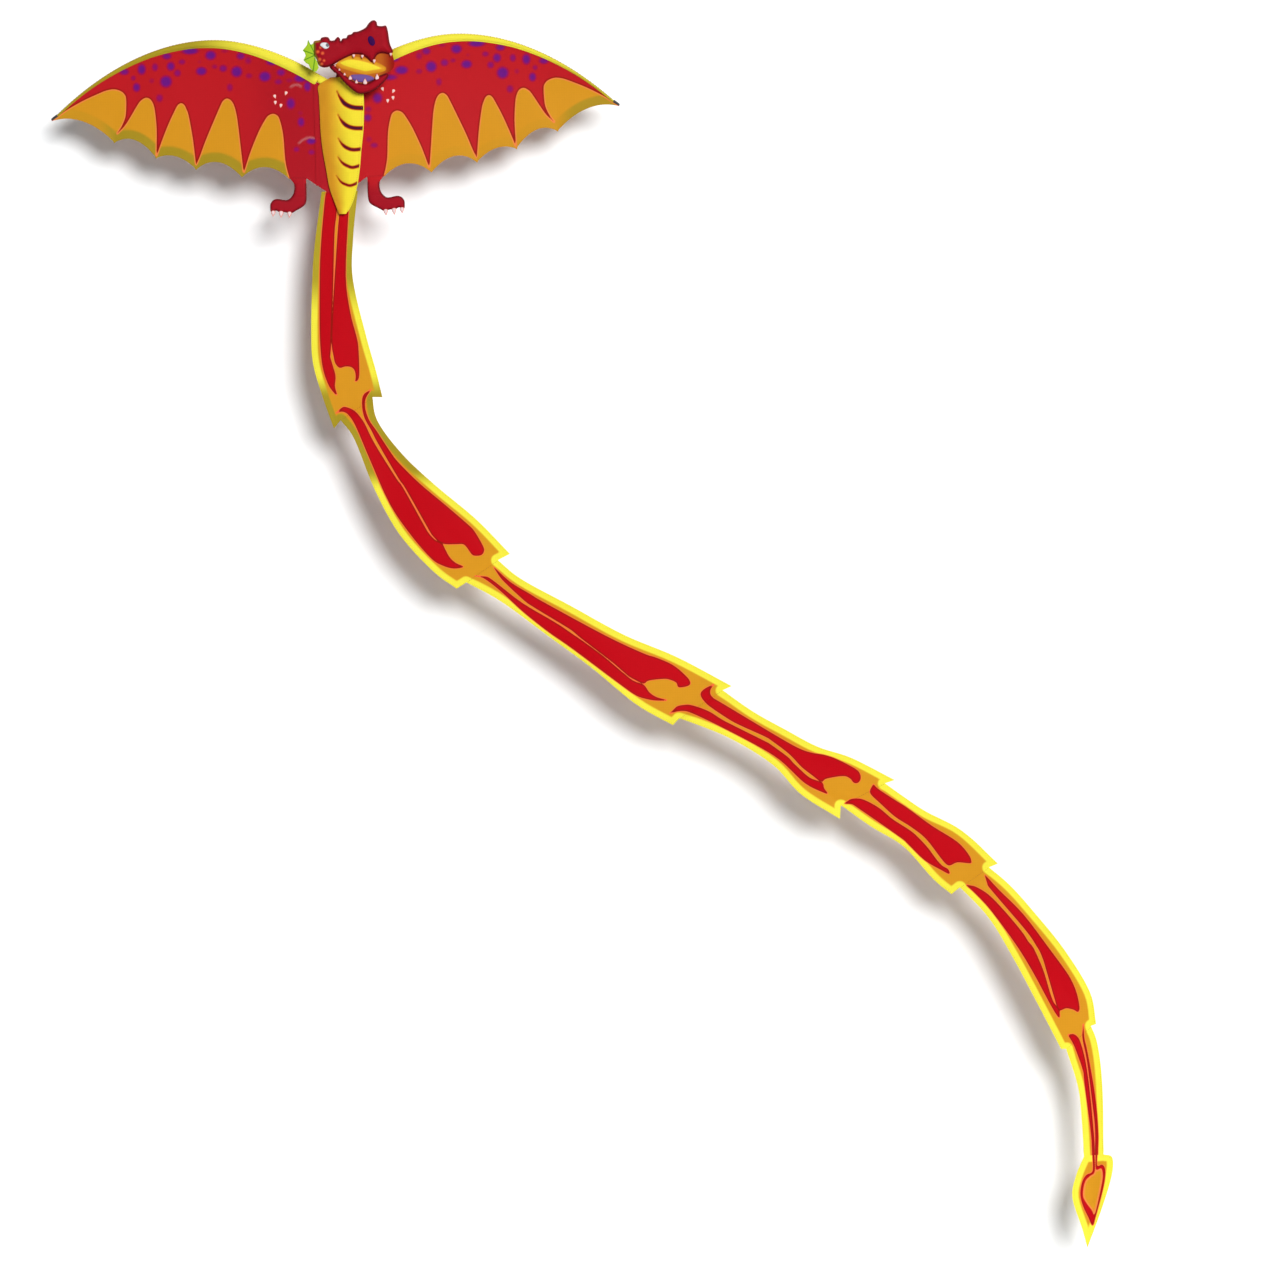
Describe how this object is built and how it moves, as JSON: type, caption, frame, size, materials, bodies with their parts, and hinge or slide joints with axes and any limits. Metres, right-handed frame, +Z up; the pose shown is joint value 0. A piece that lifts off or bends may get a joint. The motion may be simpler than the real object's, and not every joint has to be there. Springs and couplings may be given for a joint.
{
  "type": "dragon kite",
  "caption": "Framed fabric kite shaped like a dragon, with folding scalloped wings, a puffed belly keel and head, flapping legs and a long tail of hinged sections.",
  "frame": {"origin": "middle of the flat back face of the centre hub, on the kite's middle line at the height of its wing tips", "axes": "+X to the viewer's right when the dragon's belly faces the viewer, +Y away from the viewer and out of the hub's back face, +Z up towards the head"},
  "size_m": [2.5416, 0.1124, 3.054],
  "materials": {
    "wing_red": "printed polyester sailcloth",
    "edge_yellow": "dyed polyester sailcloth",
    "belly_yellow": "printed polyester sailcloth",
    "tail_red": "printed polyester sailcloth",
    "head_red": "printed polyester sailcloth, puffed",
    "mouth_orange": "printed polyester sailcloth",
    "frill_green": "cut cloth",
    "tooth_white": "cut felt",
    "eye_white": "gloss",
    "nostril_purple": "cut felt",
    "rod_black": "pultruded fibreglass",
    "vinyl_black": "moulded vinyl",
    "tape_black": "woven webbing",
    "eyelet_brass": "pressed"
  },
  "bodies": {
    "frame": {"spine_rod": "rod_black", "spine_top_cap": "vinyl_black", "spine_bottom_cap": "vinyl_black", "spine_top_pocket": "tape_black", "spine_bottom_pocket": "tape_black", "centre_hub": "vinyl_black", "body_panel": "wing_red", "nose_patch": "edge_yellow"},
    "wing_left": {"left_wing_sail": "wing_red", "left_wing_edge_sleeve": "edge_yellow", "left_wing_edge_spar": "rod_black", "left_wing_spreader_rod": "rod_black", "left_wing_spreader_cup": "vinyl_black", "left_wing_tip_cap": "vinyl_black"},
    "wing_right": {"right_wing_sail": "wing_red", "right_wing_edge_sleeve": "edge_yellow", "right_wing_edge_spar": "rod_black", "right_wing_spreader_rod": "rod_black", "right_wing_spreader_cup": "vinyl_black", "right_wing_tip_cap": "vinyl_black"},
    "leg_left": {"left_leg": "wing_red"},
    "leg_right": {"right_leg": "wing_red"},
    "keel": {"belly_left_panel": "belly_yellow", "belly_right_panel": "belly_yellow", "neck": "head_red", "tow_tab": "tape_black", "tow_eyelet": "eyelet_brass"},
    "head": {"head_shell": "head_red", "lower_jaw": "head_red", "mouth_lining": "mouth_orange", "cheek_frill": "frill_green", "upper_tooth_1": "tooth_white", "upper_tooth_2": "tooth_white", "lower_tooth_1": "tooth_white", "lower_tooth_2": "tooth_white", "lower_tooth_3": "tooth_white", "lower_tooth_4": "tooth_white", "eye_near": "eye_white", "eye_far": "eye_white", "nostril_near": "nostril_purple", "nostril_far": "nostril_purple"},
    "tail_1": {"tail_section_1": "tail_red"},
    "tail_2": {"tail_section_2": "tail_red"},
    "tail_3": {"tail_section_3": "tail_red"},
    "tail_4": {"tail_section_4": "tail_red"},
    "tail_5": {"tail_section_5": "tail_red"},
    "tail_6": {"tail_section_6": "tail_red"},
    "tail_7": {"tail_section_7": "tail_red"},
    "tip": {"tail_tip": "edge_yellow"}
  },
  "joints": [
    {"name": "wing_left_fold", "type": "hinge", "parent": "frame", "child": "wing_left", "pos_m": [-0.045, -0.018, 0], "axis": [0, 0, -1], "range_deg": [-5, 80], "stiffness_Nm_per_rad": 0.8},
    {"name": "wing_right_fold", "type": "hinge", "parent": "frame", "child": "wing_right", "pos_m": [0.045, -0.018, 0], "axis": [0, 0, 1], "range_deg": [-5, 80], "stiffness_Nm_per_rad": 0.8},
    {"name": "leg_left_flap", "type": "hinge", "parent": "wing_left", "child": "leg_left", "pos_m": [-0.095, -0.018, -0.16], "axis": [1, 0, 0], "range_deg": [-35, 35]},
    {"name": "leg_right_flap", "type": "hinge", "parent": "wing_right", "child": "leg_right", "pos_m": [0.095, -0.018, -0.16], "axis": [1, 0, 0], "range_deg": [-35, 35]},
    {"name": "keel_lift", "type": "hinge", "parent": "frame", "child": "keel", "pos_m": [-0.038, -0.0225, 0.067], "axis": [0, 0, -1], "range_deg": [0, 40], "stiffness_Nm_per_rad": 0.5},
    {"name": "head_nod", "type": "hinge", "parent": "keel", "child": "head", "pos_m": [0.017, -0.046, 0.0555], "axis": [0.967, 0, -0.2549], "range_deg": [-2, 25], "stiffness_Nm_per_rad": 3},
    {"name": "tail_1_flap", "type": "hinge", "parent": "frame", "child": "tail_1", "pos_m": [0.0065, -0.018, -0.197], "axis": [1, 0, 0], "range_deg": [-3, 35]},
    {"name": "tail_2_flap", "type": "hinge", "parent": "tail_1", "child": "tail_2", "pos_m": [0.0345, -0.018, -0.7285], "axis": [0.8273, 0, 0.5617], "range_deg": [-30, 30]},
    {"name": "tail_3_flap", "type": "hinge", "parent": "tail_2", "child": "tail_3", "pos_m": [0.3305, -0.018, -1.1365], "axis": [0.8304, 0, 0.5571], "range_deg": [-30, 30]},
    {"name": "tail_4_flap", "type": "hinge", "parent": "tail_3", "child": "tail_4", "pos_m": [0.859, -0.018, -1.4775], "axis": [0.8498, 0, 0.5272], "range_deg": [-30, 30]},
    {"name": "tail_5_flap", "type": "hinge", "parent": "tail_4", "child": "tail_5", "pos_m": [1.251, -0.018, -1.709], "axis": [0.901, 0, 0.4338], "range_deg": [-30, 30]},
    {"name": "tail_6_flap", "type": "hinge", "parent": "tail_5", "child": "tail_6", "pos_m": [1.52, -0.018, -1.9195], "axis": [0.8374, 0, 0.5466], "range_deg": [-30, 30]},
    {"name": "tail_7_flap", "type": "hinge", "parent": "tail_6", "child": "tail_7", "pos_m": [1.767, -0.018, -2.3185], "axis": [0.748, 0, 0.6636], "range_deg": [-30, 30]},
    {"name": "tip_flap", "type": "hinge", "parent": "tail_7", "child": "tip", "pos_m": [1.7955, -0.018, -2.6125], "axis": [0.998, 0, 0.0637], "range_deg": [-30, 30]}
  ]
}
